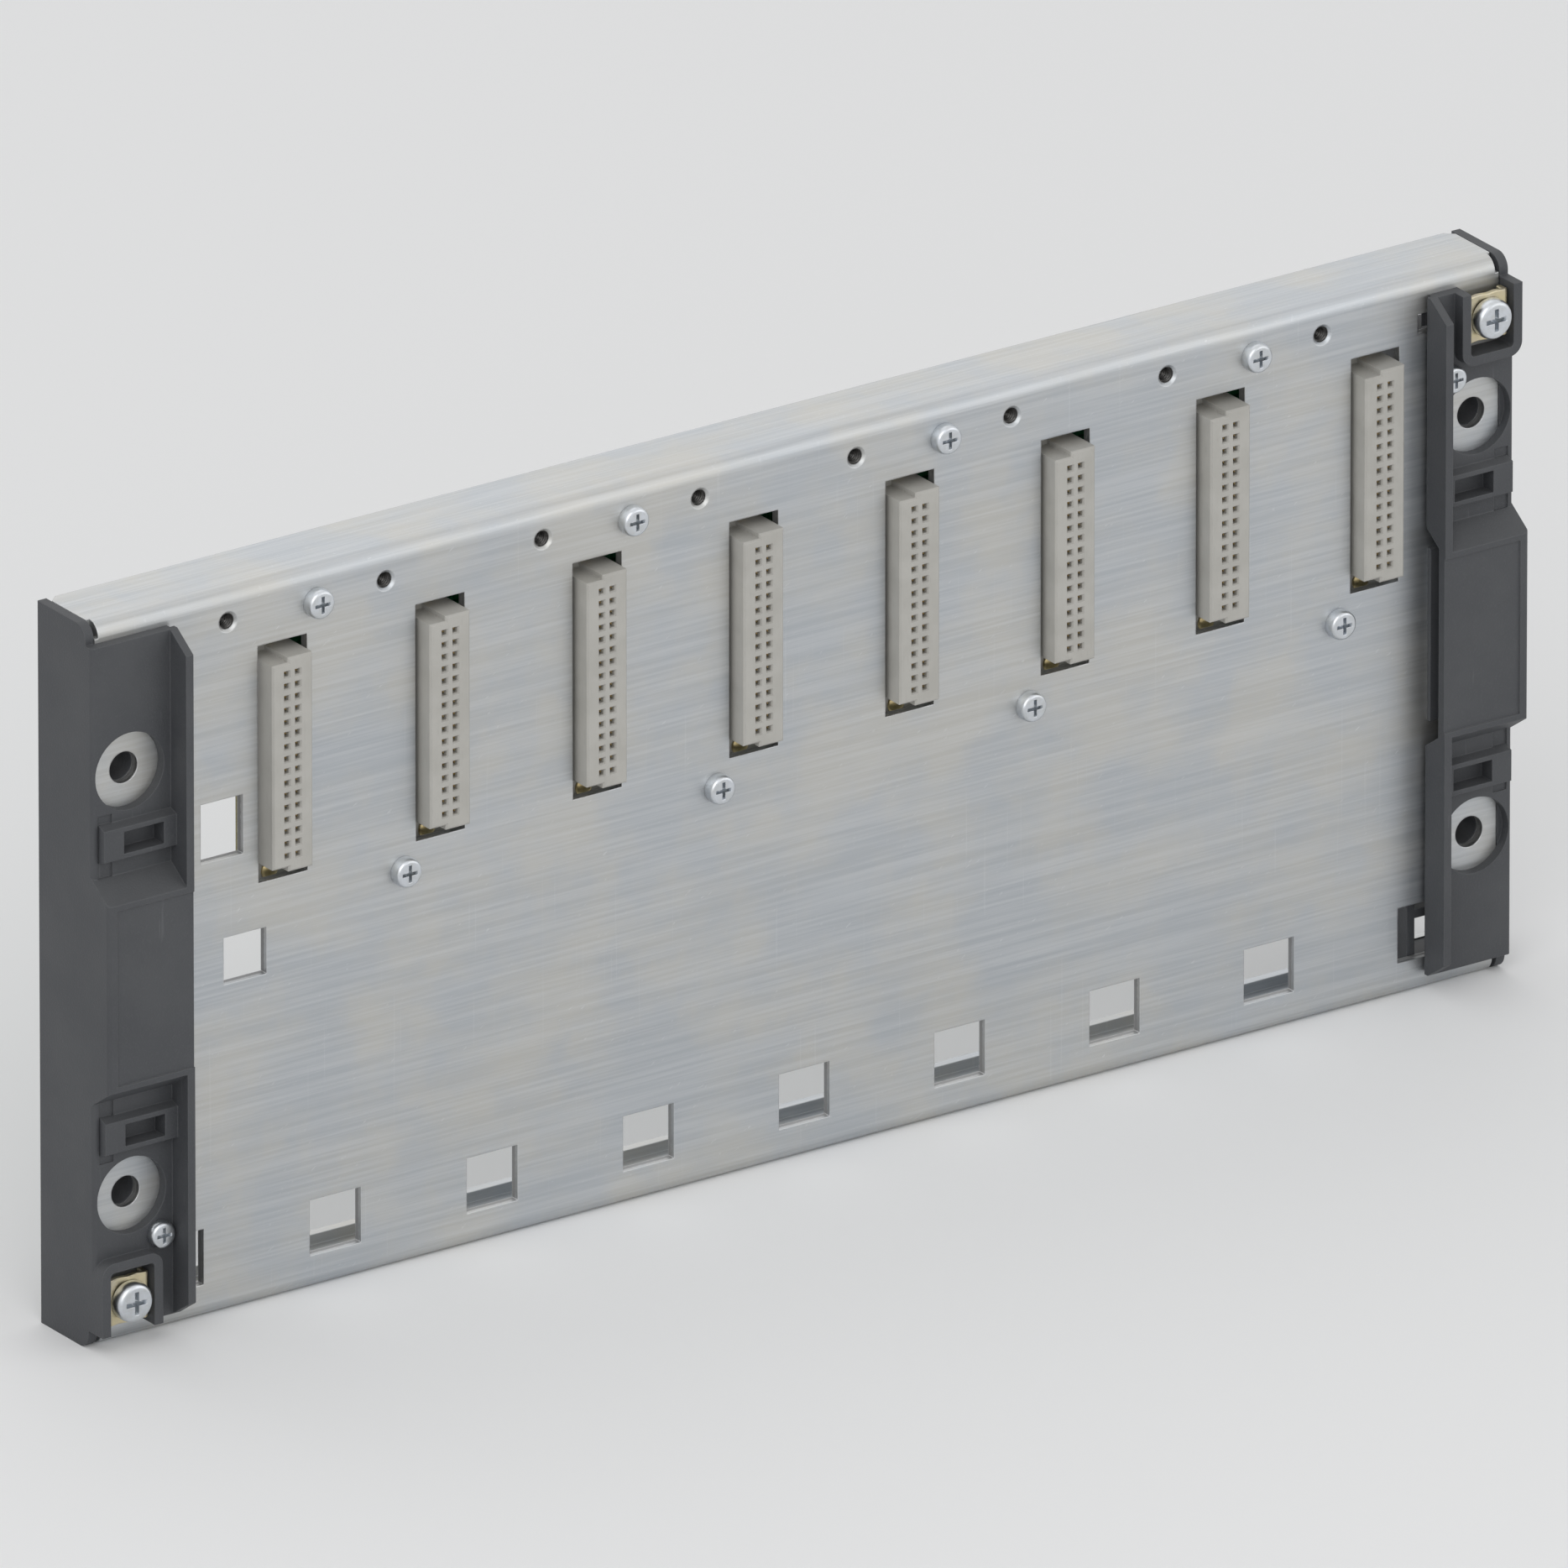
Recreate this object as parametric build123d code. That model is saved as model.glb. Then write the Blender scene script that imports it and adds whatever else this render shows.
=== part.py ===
from build123d import *

import os

# Module rack: a folded steel channel with two moulded end caps, a bus board behind
# the sheet and one female connector for each module position.
# Millimetres. +X runs to the right seen from the front, -Y points out of the front
# and +Z is up. The origin is the centre of the four fixing holes, on the panel plane.

# Overall. The width follows from the module positions.
rack_height = 151.5
rack_depth = 16.4

# Folded channel
sheet = 2.0
bend_radius = 3.1
lip_height = 4.2
channel_end_gap = 0.2
bend_relief = 0.86
corner_cut_x = 1.8
corner_cut_y = 1.7

# Fixing holes, measured from the ends and from the top and bottom edges
fixing_edge_x = 8.75
fixing_edge_z = 31.3
fixing_hole = 6.5

# Module positions, measured from the left end, the right end and the top edge
module_count = 8
module_pitch = 36.83
first_connector_x = 45.85
last_connector_margin = 31.64
connector_drop = 38.2
connector_window_x = 11.5
connector_window_z = 49.6

# Tapped holes for the modules, beside and above each connector
tapped_offset_x = -12.65
tapped_drop = 6.7
tapped_bore = 3.3
tapped_mouth = 4.4
collar_diameter = 5.8
collar_length = 2.2

# Windows that the modules hook into, right of each connector and above the bottom edge
hook_window_offset_x = 11.95
hook_window_z = 13.1
hook_window_width = 12.0
hook_window_height = 11.7

# Three windows of the supply module, measured from the left end and the top edge
supply_hook_x = 20.97
upper_supply_x = 31.6
upper_supply_drop = 49.7
upper_supply_width = 9.9
upper_supply_height = 12.4
lower_supply_x = 36.9
lower_supply_drop = 77.5
lower_supply_width = 10.0
lower_supply_height = 9.8

# Bus board
board_thickness = 1.6
board_side_margin = 5.0
board_edge_margin = 3.6
board_notch_radius = 4.4
board_hole_clearance = 0.1

# Board screws, one of each row for every second module. The upper ones stand right of
# a connector, the lower ones left of the next.
upper_screw_offset_x = 7.95
upper_screw_drop = 7.3
lower_screw_offset_x = -8.68
lower_screw_drop = 68.4
board_screw_head = 6.1
board_screw_head_height = 2.4
board_screw_shank = 2.9
board_screw_hole = 3.4
board_screw_grip = 6.4
spacer_diameter = 6.0
spacer_bore = 3.0
spacer_neck = 4.2
spacer_flare = 5.0
spacer_flare_height = 0.6

# Bus connectors
connector_width = 9.4
connector_height = 44.8
connector_length = 11.0
connector_stand = 3.6
connector_step = 1.0
connector_step_width = 3.7
connector_edge = 0.4
flange_height = 54.6
flange_thickness = 2.6
rivet_spacing = 49.8
rivet_diameter = 2.6
rivet_clearance = 0.05
rivet_head = 4.0
rivet_head_height = 0.7

# End caps
cap_width = 20.0
end_wall = 2.0
cap_floor = 2.15
cap_floor_margin = 4.0
cap_edge_radius = 0.86
cap_undercut = 1.05
rib_width = 1.7
rib_height = 5.5
slope_run = 3.85
block_zone = 13.0
block_wall = 2.25
block_end_wall = 1.12
pad_height = 36.5
label_border = 1.2
label_depth = 0.3
screw_access = 16.0
bar_gap = 3.25
bar_height = 7.9
bar_proud = 1.96
bar_slope = 0.7
bar_start = 1.5
bar_pocket_start = 6.1
bar_pocket_width = 9.3
bar_pocket_height = 4.6
bar_pocket_depth = 3.6
groove_start = 1.3
groove_end = 4.6
groove_depth = 0.35

# Back of the end caps
cap_clearance = 0.15
cap_reach = 22.0
web_thickness = 1.8
boss_diameter = 13.2
pillar_diameter = 6.4
pillar_length = 10.0
inner_web_inset = 1.25
outer_web_drop = 15.75
snap_drop = 9.75
snap_height = 3.4
snap_start = 16.6
snap_thickness = 1.4
snap_barb = 1.2
snap_barb_length = 1.4
snap_slot_start = 16.4
snap_slot_width = 5.1
snap_slot_height = 4.2

# Screw that locks each end cap
cap_screw_x = 15.1
cap_screw_z = 21.8
cap_screw_head = 5.6
cap_screw_head_height = 2.0
cap_screw_shank = 3.0
cap_screw_hole = 3.4
cap_screw_grip = 11.0

# Ground terminals
terminal_width = 14.2
terminal_top_z = 19.2
terminal_proud = 2.8
terminal_wall = 2.0
terminal_corner = 2.9
ground_screw_z = 10.2
ground_screw_head = 8.2
ground_screw_head_height = 2.8
ground_screw_shank = 4.0
ground_screw_bore = 4.1
clamp_size = 9.6
clamp_thickness = 1.2
clamp_stand = 2.4
clamp_side = 1.6
nut_diameter = 8.0
nut_height = 4.0
nut_neck = 5.4

# Pan head and cross recess of every screw, as shares of the head's size
head_flat = 0.5
head_crown = 0.86
head_crown_height = 0.72
head_rim_height = 0.2
recess_length = 0.56
recess_width = 0.15
recess_depth = 0.5

# Planes that several pieces share
rack_width = first_connector_x + (module_count - 1) * module_pitch + last_connector_margin
left_end = -rack_width / 2
top = rack_height / 2
fixing_z = top - fixing_edge_z
front = -rack_depth
sheet_back = front + sheet
cap_face = front - cap_floor
rib_face = cap_face - rib_height
board_front = front - connector_stand + connector_length
board_back = board_front + board_thickness
floor_half = top - cap_floor_margin
block_half = fixing_z - screw_access / 2 - block_zone


# Position of a distance measured from the left end, from the bottom or from the top
def from_left(x):
    return left_end + x


def from_bottom(z):
    return z - top


def from_top(z):
    return top - z


def connector_x(index):
    return from_left(first_connector_x + index * module_pitch)


def span_box(x_low, x_high, y_low, y_high, z_low, z_high):
    centre = Pos((x_low + x_high) / 2, (y_low + y_high) / 2, (z_low + z_high) / 2)
    return centre * Box(x_high - x_low, y_high - y_low, z_high - z_low)


# Round bar along Y between two planes
def rod(x, z, diameter, y_low, y_high):
    turned = Pos(x, (y_low + y_high) / 2, z) * Rot(90, 0, 0)
    return turned * Cylinder(diameter / 2, y_high - y_low)


# Outline in the YZ plane, pulled along X
def side_extrusion(points, x_low, x_high):
    outline = make_face(Polyline(*points, close=True))
    return Pos(x_low, 0, 0) * extrude(Plane.YZ * outline, x_high - x_low)


# Rectangle in the XZ plane whose upper corners are round, pulled along Y
def arched_box(x_low, x_high, z_low, z_high, radius, y_low, y_high):
    outline = Rectangle(x_high - x_low, z_high - z_low)
    outline = fillet(outline.vertices().group_by(Axis.Y)[-1], radius)
    placed = Plane.XZ * (Pos((x_low + x_high) / 2, (z_low + z_high) / 2) * outline)
    return Pos(0, y_high, 0) * extrude(placed, y_high - y_low)


# Channel outline in the YZ plane with round front corners
def channel_outline(y_low, y_high, half_height, radius):
    outline = Rectangle(y_high - y_low, 2 * half_height)
    outline = fillet(outline.vertices().group_by(Axis.X)[0], radius)
    return Plane.YZ * (Pos((y_low + y_high) / 2, 0) * outline)


def board_screw_places():
    places = []
    for index in range(0, module_count, 2):
        places.append((connector_x(index) + upper_screw_offset_x, from_top(upper_screw_drop)))
        places.append((connector_x(index + 1) + lower_screw_offset_x, from_top(lower_screw_drop)))
    return places


def tapped_places():
    return [(connector_x(index) + tapped_offset_x, from_top(tapped_drop)) for index in range(module_count)]


def hook_window_places():
    beside_connectors = [connector_x(index) + hook_window_offset_x for index in range(module_count)]
    return [from_left(supply_hook_x)] + beside_connectors


def window(x, z, width, height):
    return span_box(x - width / 2, x + width / 2, front, sheet_back, z - height / 2, z + height / 2)


def channel():
    length = rack_width - 2 * (end_wall + channel_end_gap)
    end = length / 2
    shell = extrude(channel_outline(front, 0, top, bend_radius), length)
    inside = channel_outline(sheet_back, -sheet, top - sheet, bend_radius - sheet)
    body = Pos(-end, 0, 0) * (shell - extrude(inside, length))
    lip_edge = top - lip_height
    body -= span_box(-end, end, -sheet, 0, -lip_edge, lip_edge)
    for side in (-1, 1):
        corner = [(side * end, 0), (side * (end - corner_cut_x), 0), (side * end, -corner_cut_y)]
        cut = make_face(Polyline(*corner, close=True))
        body -= Pos(0, 0, -top) * extrude(cut, rack_height, dir=(0, 0, 1))
        for edge in (-1, 1):
            relief_x = sorted((side * end, side * (end - bend_relief)))
            relief_z = sorted((edge * top, edge * (top - bend_radius)))
            body -= span_box(*relief_x, front, front + bend_radius, *relief_z)
    for index in range(module_count):
        body -= window(connector_x(index), from_top(connector_drop), connector_window_x, connector_window_z)
    for x in hook_window_places():
        body -= window(x, from_bottom(hook_window_z), hook_window_width, hook_window_height)
    body -= window(
        from_left(upper_supply_x), from_top(upper_supply_drop), upper_supply_width, upper_supply_height
    )
    body -= window(
        from_left(lower_supply_x), from_top(lower_supply_drop), lower_supply_width, lower_supply_height
    )
    for x, z in tapped_places():
        body += rod(x, z, collar_diameter, sheet_back, sheet_back + collar_length)
        body -= rod(x, z, tapped_bore, front, sheet_back + collar_length)
        mouth_depth = (tapped_mouth - tapped_bore) / 2
        cone = Cone(tapped_bore / 2, tapped_mouth / 2, mouth_depth)
        body -= Pos(x, front + mouth_depth / 2, z) * Rot(90, 0, 0) * cone
    for x, z in board_screw_places():
        body -= rod(x, z, board_screw_hole, front, sheet_back)
    for side in (-1, 1):
        for edge in (-1, 1):
            body -= rod(side * -from_left(fixing_edge_x), edge * fixing_z, fixing_hole, front, sheet_back)
        lock_x = side * -from_left(cap_screw_x)
        lock_z = side * -from_bottom(cap_screw_z)
        body -= rod(lock_x, lock_z, cap_screw_hole, front, sheet_back)
        body -= rod(side * -ground_x(), side * -from_bottom(ground_screw_z), nut_neck, front, sheet_back)
        slot_x = side * -from_left(snap_slot_start + snap_slot_width / 2)
        body -= window(slot_x, side * from_top(snap_drop), snap_slot_width, snap_slot_height)
    return body


def ground_x():
    return from_left(terminal_width / 2)


# Left end cap. The right one is the same moulding turned half a turn about Y.
def end_cap():
    inner = from_left(cap_width)
    rib_x = from_left(cap_width - rib_width)
    face = [
        (front, floor_half),
        (cap_face, floor_half),
        (cap_face, block_half),
        (rib_face, block_half - slope_run),
        (rib_face, slope_run - block_half),
        (cap_face, -block_half),
        (cap_face, -floor_half),
        (front, -floor_half),
    ]
    cap = side_extrusion(face, left_end, inner)
    outer_edges = cap.edges().filter_by(Axis.Z).group_by(Axis.X)[0]
    outer_edges = [edge for edge in outer_edges if edge.center().Y < front - cap_floor / 2]
    cap = fillet(outer_edges, cap_edge_radius)
    wall = extrude(channel_outline(front, 0, top, bend_radius), end_wall)
    cap += Pos(left_end, 0, 0) * wall
    rib_face_half = floor_half - slope_run
    rib = [
        (front, floor_half),
        (cap_face, floor_half),
        (rib_face, rib_face_half),
        (rib_face, -rib_face_half),
        (cap_face, -floor_half),
        (front, -floor_half),
    ]
    cap += side_extrusion(rib, rib_x, inner)
    cap -= span_box(inner - cap_undercut, inner, front - cap_undercut, front, -floor_half, floor_half)
    cap -= block_hollow()
    cap += cap_back()
    cap += terminal_housing()
    label_half = block_half - slope_run - label_border
    label_x = from_left(cap_edge_radius + label_border)
    cap -= span_box(label_x, inner, rib_face, rib_face + label_depth, -label_half, label_half)
    for side in (-1, 1):
        cap = cap_bar(cap, side, rib_x)
        cap -= rod(from_left(fixing_edge_x), side * fixing_z, screw_access, cap_face, front)
    cap -= terminal_cavity()
    cap -= rod(from_left(cap_screw_x), from_bottom(cap_screw_z), cap_screw_hole, cap_face, front)
    return cap


# Room under the block's front plate. Its ends run parallel to the block's slopes, and a
# pad stays on the floor.
def block_hollow():
    slope = slope_run / rib_height
    back = block_half - block_end_wall + slope * cap_floor
    plate_back = rib_face + block_wall
    plate = back - slope * (front - plate_back)
    room = side_extrusion(
        [(front, back), (plate_back, plate), (plate_back, -plate), (front, -back)],
        from_left(end_wall), from_left(cap_width)
    )
    pad = span_box(
        from_left(end_wall), from_left(cap_width) - cap_undercut, front - cap_undercut, front,
        -pad_height / 2, pad_height / 2
    )
    return room - pad


# Raised marker holder between the middle block and a fixing hole
def cap_bar(cap, side, rib_x):
    z = side * (block_half + bar_gap + bar_height / 2)
    groove_edges = sorted((side * block_half, side * (fixing_z - screw_access / 2)))
    cap -= span_box(
        from_left(groove_start), from_left(groove_end), cap_face, cap_face + groove_depth, *groove_edges
    )
    low = z - bar_height / 2
    high = z + bar_height / 2
    bar_face = cap_face - bar_proud
    bar = [
        (cap_face + groove_depth, low),
        (cap_face, low),
        (bar_face, low + bar_slope),
        (bar_face, high - bar_slope),
        (cap_face, high),
        (cap_face + groove_depth, high),
    ]
    cap += side_extrusion(bar, from_left(bar_start), rib_x)
    pocket_x = from_left(bar_pocket_start)
    pocket_half = bar_pocket_height / 2
    cap -= span_box(
        pocket_x, pocket_x + bar_pocket_width, bar_face, bar_face + bar_pocket_depth,
        z - pocket_half, z + pocket_half
    )
    return cap


# Webs, bosses and snap hook behind the sheet
def cap_back():
    wall_x = from_left(end_wall)
    reach_x = from_left(cap_reach)
    web_front = sheet_back + cap_clearance
    web_back = -sheet - cap_clearance
    edge = top - sheet - cap_clearance
    room = extrude(channel_outline(web_front, web_back, edge, bend_radius - sheet), cap_reach - end_wall)
    back = span_box(reach_x - web_thickness, reach_x, web_front, web_back, -edge, edge)
    for side in (-1, 1):
        edge_web = sorted((side * edge, side * (edge - web_thickness)))
        back += span_box(wall_x, reach_x, web_front, web_back, *edge_web)
        for cross_z in (block_half - inner_web_inset, fixing_z, top - outer_web_drop):
            web_z = side * cross_z
            half = web_thickness / 2
            back += span_box(wall_x, reach_x, web_front, web_back, web_z - half, web_z + half)
    back = (Pos(wall_x, 0, 0) * room) & back
    for boss_z in (-fixing_z, fixing_z):
        back += rod(from_left(fixing_edge_x), boss_z, boss_diameter, web_front, 0)
        back -= rod(from_left(fixing_edge_x), boss_z, fixing_hole, web_front, 0)
    pillar_x = from_left(cap_screw_x)
    pillar_z = from_bottom(cap_screw_z)
    back += rod(pillar_x, pillar_z, pillar_diameter, web_front, web_front + pillar_length)
    back += span_box(
        wall_x, pillar_x, web_front, web_front + pillar_length,
        pillar_z - web_thickness / 2, pillar_z + web_thickness / 2
    )
    back -= rod(pillar_x, pillar_z, cap_screw_shank, web_front, web_front + pillar_length)
    snap_x = from_left(snap_start)
    barb_y = sheet_back + cap_clearance
    hook = [
        (snap_x, front),
        (snap_x, barb_y + snap_barb_length),
        (snap_x + snap_thickness, barb_y + snap_barb_length),
        (snap_x + snap_thickness + snap_barb, barb_y),
        (snap_x + snap_thickness, barb_y),
        (snap_x + snap_thickness, front),
    ]
    hook_face = make_face(Polyline(*hook, close=True))
    hook_z = from_bottom(snap_drop) - snap_height / 2
    back += Pos(0, 0, hook_z) * extrude(hook_face, snap_height, dir=(0, 0, 1))
    return back


def terminal_housing():
    return arched_box(
        left_end, from_left(terminal_width), -floor_half, from_bottom(terminal_top_z),
        terminal_corner, cap_face - terminal_proud, front
    )


def terminal_cavity():
    return arched_box(
        from_left(terminal_wall), from_left(terminal_width - terminal_wall), -top,
        from_bottom(terminal_top_z - terminal_wall), terminal_corner - terminal_wall,
        cap_face - terminal_proud, front
    )


# Pan-head screw along Y: its head stands on the plane seat_y, in front of it
def screw(x, z, seat_y, head, head_height, shank, grip):
    half = head / 2
    face_edge = (half * head_flat, -head_height)
    crown = (half * head_crown, -head_height * head_crown_height)
    rim = (half, -head_height * head_rim_height)
    outline = Polyline((0, 0), (0, -head_height), face_edge)
    outline += ThreePointArc(face_edge, crown, rim)
    outline += Polyline(rim, (half, 0), (0, 0))
    solid = revolve(make_face(outline), Axis.Y)
    reach = head * recess_length
    width = head * recess_width
    depth = head_height * recess_depth
    cross = Box(reach, depth, width) + Box(width, depth, reach)
    solid -= Pos(0, -head_height + depth / 2, 0) * cross
    solid += rod(0, 0, shank, 0, grip)
    return Pos(x, seat_y, z) * solid


def board():
    low_x = connector_x(0) - board_side_margin
    high_x = connector_x(module_count - 1) + board_side_margin
    low_z = from_top(lower_screw_drop + board_edge_margin)
    high_z = from_top(upper_screw_drop - board_edge_margin)
    plate = span_box(low_x, high_x, board_front, board_back, low_z, high_z)
    for x, z in tapped_places()[1:]:
        plate -= rod(x, z, 2 * board_notch_radius, board_front, board_back)
        plate -= span_box(x - board_notch_radius, x + board_notch_radius, board_front, board_back, z, top)
    for x, z in board_screw_places():
        plate -= rod(x, z, spacer_neck + board_hole_clearance, board_front, board_back)
    for x, z in rivet_places():
        plate -= rod(x, z, rivet_diameter + 2 * rivet_clearance, board_front, board_back)
    return plate


def spacer(x, z):
    sleeve = rod(x, z, spacer_diameter, sheet_back, board_front)
    sleeve += rod(x, z, spacer_neck, board_front, board_back)
    sleeve += rod(x, z, spacer_flare, board_back, board_back + spacer_flare_height)
    return sleeve - rod(x, z, spacer_bore, sheet_back, board_back + spacer_flare_height)


def rivet_places():
    places = []
    for index in range(module_count):
        for side in (-1, 1):
            places.append((connector_x(index), from_top(connector_drop) + side * rivet_spacing / 2))
    return places


def rivet(x, z):
    seat = board_front - flange_thickness
    pin = rod(x, z, rivet_diameter, seat, board_back)
    pin += rod(x, z, rivet_head, seat - rivet_head_height, seat)
    return pin + rod(x, z, rivet_head, board_back, board_back + rivet_head_height)


# Female connector: a keyed body on a riveted flange
def connector(index):
    x = connector_x(index)
    z = from_top(connector_drop)
    half_x = connector_width / 2
    half_z = connector_height / 2
    tip = front - connector_stand
    low = half_z - connector_step
    step_x = connector_step_width - half_x
    outline = Polyline(
        (-half_x, -low), (step_x, -low), (step_x, -half_z), (half_x, -half_z),
        (half_x, half_z), (step_x, half_z), (step_x, low), (-half_x, low), close=True
    )
    body = extrude(Plane.XZ * make_face(outline), connector_length)
    body = chamfer(body.faces().sort_by(Axis.Y)[0].edges(), connector_edge)
    body = Pos(x, tip + connector_length, z) * body
    flange_front = board_front - flange_thickness
    half_flange = flange_height / 2
    body += span_box(x - half_x, x + half_x, flange_front, board_front, z - half_flange, z + half_flange)
    for side in (-1, 1):
        hole_z = z + side * rivet_spacing / 2
        body -= rod(x, hole_z, rivet_diameter + 2 * rivet_clearance, flange_front, board_front)
    return body


# Saddle that presses a ground wire against the sheet
def ground_clamp():
    x = ground_x()
    z = from_bottom(ground_screw_z)
    half = clamp_size / 2
    back = front - clamp_stand
    plate = span_box(x - half, x + half, back - clamp_thickness, back, z - half, z + half)
    for side in (-1, 1):
        side_x = sorted((x + side * half, x + side * (half - clamp_thickness)))
        plate += span_box(*side_x, back, back + clamp_side, z - half, z + half)
    return plate - rod(x, z, ground_screw_bore, back - clamp_thickness, back)


def ground_screw():
    seat = front - clamp_stand - clamp_thickness
    grip = sheet_back + nut_height - seat
    return screw(
        ground_x(), from_bottom(ground_screw_z), seat,
        ground_screw_head, ground_screw_head_height, ground_screw_shank, grip
    )


def ground_nut():
    x = ground_x()
    z = from_bottom(ground_screw_z)
    nut = rod(x, z, nut_diameter, sheet_back, sheet_back + nut_height)
    nut += rod(x, z, nut_neck, front, sheet_back)
    return nut - rod(x, z, ground_screw_shank, front, sheet_back + nut_height)


def cap_screw():
    return screw(
        from_left(cap_screw_x), from_bottom(cap_screw_z), cap_face,
        cap_screw_head, cap_screw_head_height, cap_screw_shank, cap_screw_grip
    )


def board_screw(x, z):
    return screw(
        x, z, front, board_screw_head, board_screw_head_height, board_screw_shank, board_screw_grip
    )


def save(name, shape):
    shape.label = name
    export_step(shape, f"parts/{name}.step")


def save_group(name, shapes):
    save(name, Compound(children=list(shapes)))


os.makedirs("parts", exist_ok=True)
turned = Rot(0, 180, 0)

save("chassis", channel())
left_cap = end_cap()
save("left_end_cap", left_cap)
save("right_end_cap", turned * left_cap)
save("backplane_board", board())
for number in range(module_count):
    save(f"bus_connector_{number + 1}", connector(number))
save_group("connector_rivets", [rivet(x, z) for x, z in rivet_places()])
save_group("board_spacers", [spacer(x, z) for x, z in board_screw_places()])
save_group("board_screws", [board_screw(x, z) for x, z in board_screw_places()])
save("left_ground_clamp", ground_clamp())
save("right_ground_clamp", turned * ground_clamp())
save("left_ground_screw", ground_screw())
save("right_ground_screw", turned * ground_screw())
save_group("ground_nuts", [ground_nut(), turned * ground_nut()])
save_group("cap_screws", [cap_screw(), turned * cap_screw()])
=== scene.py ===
import math

import bmesh
import bpy
from mathutils import Matrix, Vector


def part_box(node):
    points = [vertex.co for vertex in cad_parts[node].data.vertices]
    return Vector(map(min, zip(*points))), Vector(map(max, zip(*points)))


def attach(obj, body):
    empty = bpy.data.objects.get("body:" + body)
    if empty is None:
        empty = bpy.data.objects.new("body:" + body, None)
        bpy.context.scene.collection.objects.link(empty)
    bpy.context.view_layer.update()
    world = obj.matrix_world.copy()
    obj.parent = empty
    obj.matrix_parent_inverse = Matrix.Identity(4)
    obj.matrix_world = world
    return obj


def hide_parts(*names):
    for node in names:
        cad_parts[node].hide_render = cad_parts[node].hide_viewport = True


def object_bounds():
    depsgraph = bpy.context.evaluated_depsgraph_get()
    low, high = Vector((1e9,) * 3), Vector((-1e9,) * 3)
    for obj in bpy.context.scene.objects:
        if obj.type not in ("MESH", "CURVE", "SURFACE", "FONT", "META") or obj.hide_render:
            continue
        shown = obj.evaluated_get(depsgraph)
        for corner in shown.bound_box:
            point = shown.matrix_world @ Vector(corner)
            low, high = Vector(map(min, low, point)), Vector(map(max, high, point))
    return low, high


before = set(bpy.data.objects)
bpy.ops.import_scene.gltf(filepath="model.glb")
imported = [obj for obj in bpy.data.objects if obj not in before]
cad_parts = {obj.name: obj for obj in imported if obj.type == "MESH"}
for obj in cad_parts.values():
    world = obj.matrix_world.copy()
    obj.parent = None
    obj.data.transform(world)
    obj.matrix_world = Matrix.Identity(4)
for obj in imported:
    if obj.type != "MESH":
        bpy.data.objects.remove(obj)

mm = 0.001
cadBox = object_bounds()
print("frame loaded,", len(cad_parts), "nodes")


# Planes and places read from the CAD nodes
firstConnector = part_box("bus_connector_1")
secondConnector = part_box("bus_connector_2")
rack = {
    "modules": 8,
    "pitch": secondConnector[0].x - firstConnector[0].x,
    "firstX": (firstConnector[0].x + firstConnector[1].x) / 2,
    "connectorZ": (firstConnector[0].z + firstConnector[1].z) / 2,
    "connectorFront": firstConnector[0].y,
    "sheetFront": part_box("chassis")[0].y,
    "sheetThickness": 2.0 * mm,
    "boardFront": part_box("backplane_board")[0].y,
    "boardBack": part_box("backplane_board")[1].y,
    "leftEnd": cadBox[0].x,
    "bottom": cadBox[0].z,
    "top": cadBox[1].z,
}


class Wire:
    # a node's output that works in plain arithmetic
    def __init__(self, sheet, socket):
        self.sheet = sheet
        self.socket = socket

    def maths(self, operation, first, second=0.0):
        return self.sheet.add("ShaderNodeMath", {"operation": operation}, {0: first, 1: second})

    def __add__(self, other):
        return self.maths("ADD", self, other)

    def __radd__(self, other):
        return self.maths("ADD", other, self)

    def __sub__(self, other):
        return self.maths("SUBTRACT", self, other)

    def __rsub__(self, other):
        return self.maths("SUBTRACT", other, self)

    def __mul__(self, other):
        return self.maths("MULTIPLY", self, other)

    def __rmul__(self, other):
        return self.maths("MULTIPLY", other, self)

    def __truediv__(self, other):
        return self.maths("DIVIDE", self, other)

    def __rtruediv__(self, other):
        return self.maths("DIVIDE", other, self)

    def __mod__(self, other):
        return self.maths("MODULO", self, other)

    def __abs__(self):
        return self.maths("ABSOLUTE", self)

    def __gt__(self, other):
        return self.maths("GREATER_THAN", self, other)

    def __lt__(self, other):
        return self.maths("LESS_THAN", self, other)

    def low(self, other):
        return self.maths("MINIMUM", self, other)

    def high(self, other):
        return self.maths("MAXIMUM", self, other)

    def floor(self):
        return self.maths("FLOOR", self)

    def cos(self):
        return self.maths("COSINE", self)

    def sin(self):
        return self.maths("SINE", self)

    def fade(self, start, end):
        # 0 before start, 1 after end, smooth between
        sockets = {0: self, 1: start, 2: end, 3: 0.0, 4: 1.0}
        return self.sheet.add("ShaderNodeMapRange", {"interpolation_type": "SMOOTHSTEP"}, sockets)

    def vectorMaths(self, operation, other, out=0):
        settings = {"operation": operation}
        return self.sheet.add("ShaderNodeVectorMath", settings, {0: self, 1: other}, out)

    def stretch(self, x, y, z):
        return self.vectorMaths("MULTIPLY", (x, y, z))

    def dot(self, other):
        return self.vectorMaths("DOT_PRODUCT", other, 1)

    def part(self, axis):
        return self.sheet.add("ShaderNodeSeparateXYZ", {}, {0: self}, axis)


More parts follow.
